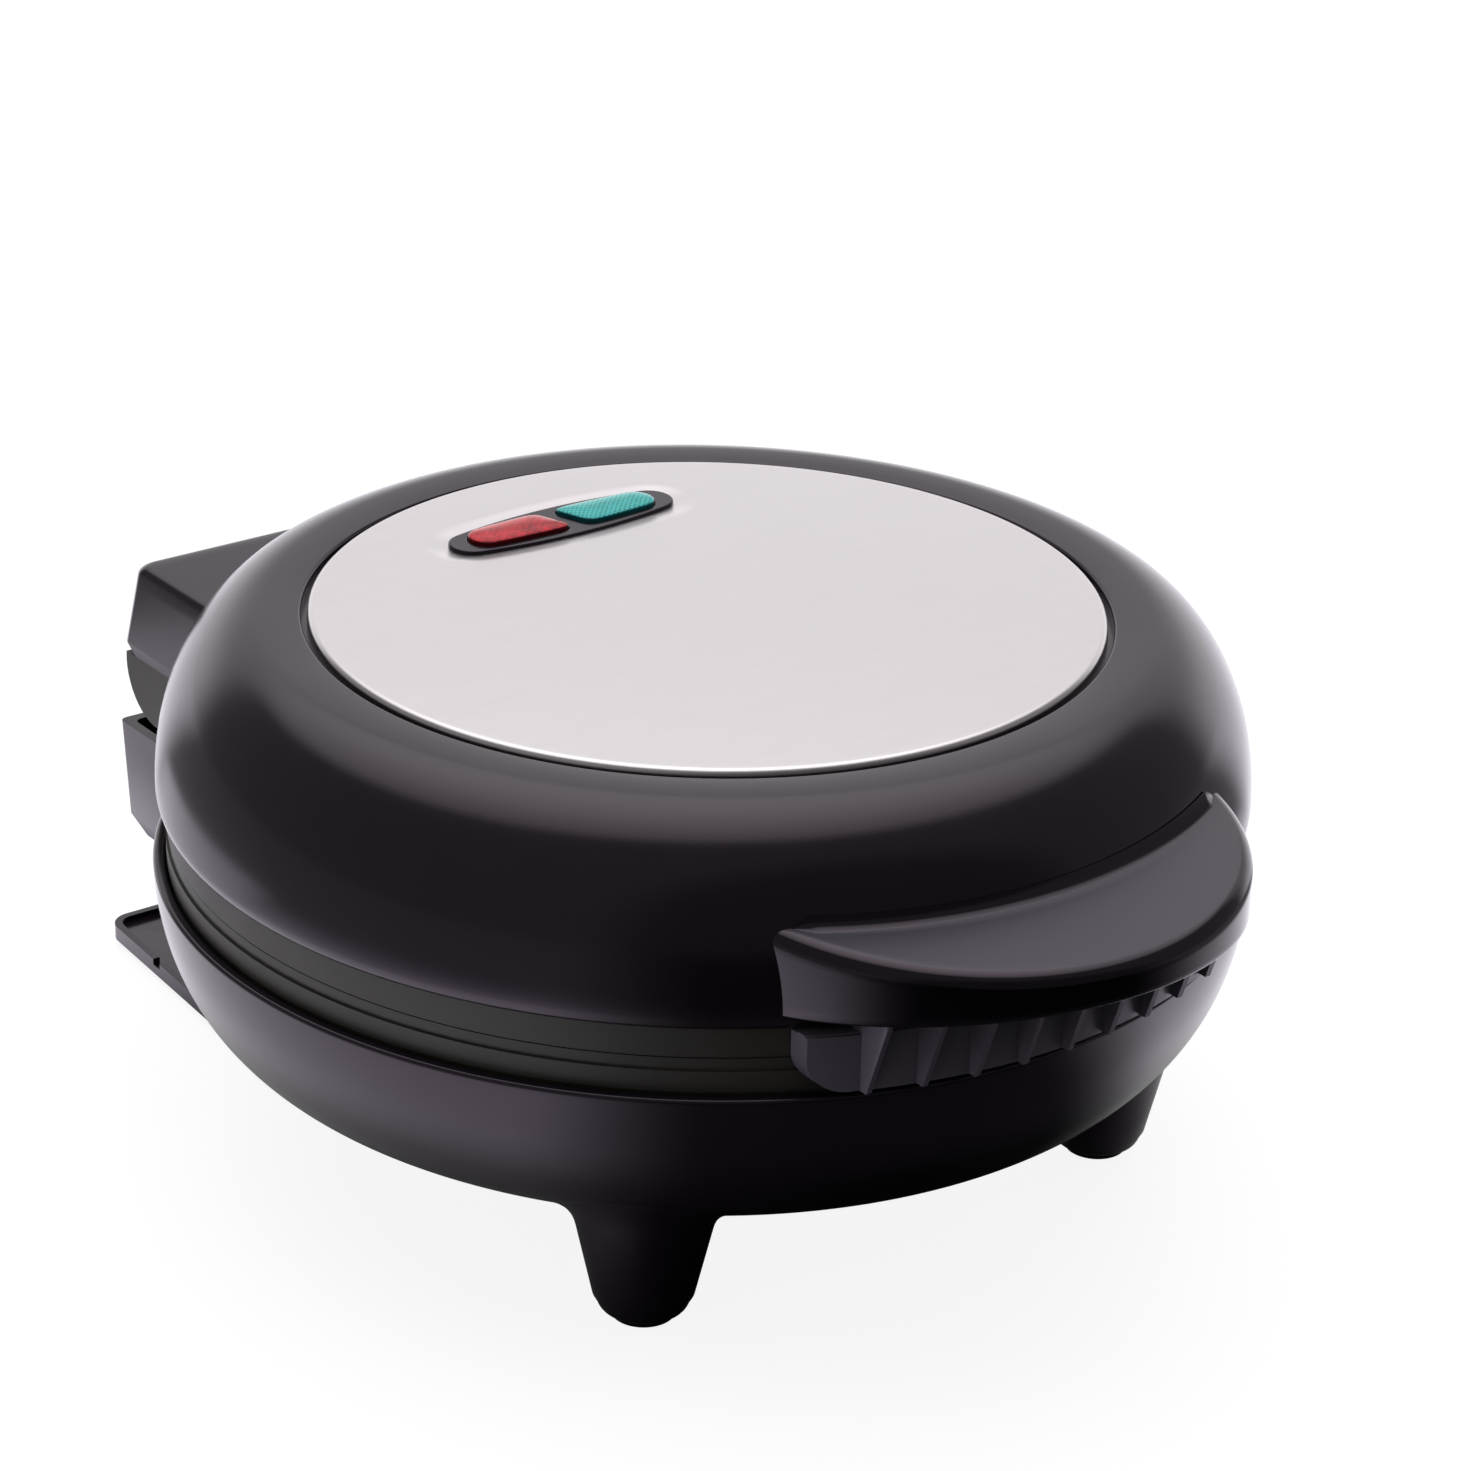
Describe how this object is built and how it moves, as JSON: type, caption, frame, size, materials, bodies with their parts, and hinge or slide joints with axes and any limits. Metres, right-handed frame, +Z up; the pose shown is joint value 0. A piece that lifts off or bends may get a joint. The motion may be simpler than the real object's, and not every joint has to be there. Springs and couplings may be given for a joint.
{
  "type": "omelette maker",
  "caption": "Round countertop omelette maker with a hinged lid, steel cover disc, crescent handle, half-moon cooking pockets, front feet and a rear cord-wrap stand.",
  "frame": {"origin": "on the table under the middle of the bounding box, on the upright axis of the round body", "axes": "+Z up, +Y towards the hinge at the rear, -Y towards the handle, +X to the right when seen from the handle"},
  "size_m": [0.216, 0.263, 0.1126],
  "materials": {
    "black_plastic": "satin gloss moulded ABS",
    "band_plastic": "matte heat-proof moulding",
    "cover_steel": "fine satin",
    "nonstick": "dark non-stick coat on cast aluminium",
    "shield_aluminium": "mill finish sheet",
    "rod_steel": "plain",
    "bright_steel": "zinc plated",
    "pad_rubber": "matte",
    "block_plastic": "plain cream moulding",
    "red_lens": "clear tinted, polished",
    "green_lens": "clear tinted, polished",
    "lamp_glass": "clear"
  },
  "bodies": {
    "base": {"base_housing": "black_plastic", "foot_pads": "pad_rubber", "stand_pads": "pad_rubber", "cord_wrap_plate": "black_plastic", "cord_wrap_screws": "bright_steel", "cord_inlet_bush": "pad_rubber", "terminal_block": "block_plastic", "lower_frame_ring": "band_plastic", "lower_frame_screws": "bright_steel", "hinge_pins": "bright_steel", "lower_cooking_plate": "nonstick", "lower_plate_screws": "bright_steel", "lower_heating_element": "rod_steel", "lower_element_clamps": "rod_steel", "lower_clamp_screws": "bright_steel", "lower_heat_shield": "shield_aluminium"},
    "lid": {"lid_housing": "black_plastic", "steel_cover_disc": "cover_steel", "lid_handle": "black_plastic", "handle_insert": "black_plastic", "handle_screws": "bright_steel", "lamp_bezel": "black_plastic", "red_lens": "red_lens", "green_lens": "green_lens", "lamp_holder": "block_plastic", "neon_lamps": "lamp_glass", "upper_frame_ring": "band_plastic", "upper_frame_screws": "bright_steel", "upper_cooking_plate": "nonstick", "upper_plate_screws": "bright_steel", "upper_heating_element": "rod_steel", "upper_element_clamps": "rod_steel", "upper_clamp_screws": "bright_steel", "upper_heat_shield": "shield_aluminium", "thermostat": "rod_steel", "thermal_fuse": "rod_steel"}
  },
  "joints": [
    {"name": "lid_hinge", "type": "hinge", "parent": "base", "child": "lid", "pos_m": [0, 0.105, 0.072], "axis": [-1, 0, 0], "range_deg": [0, 100]}
  ]
}
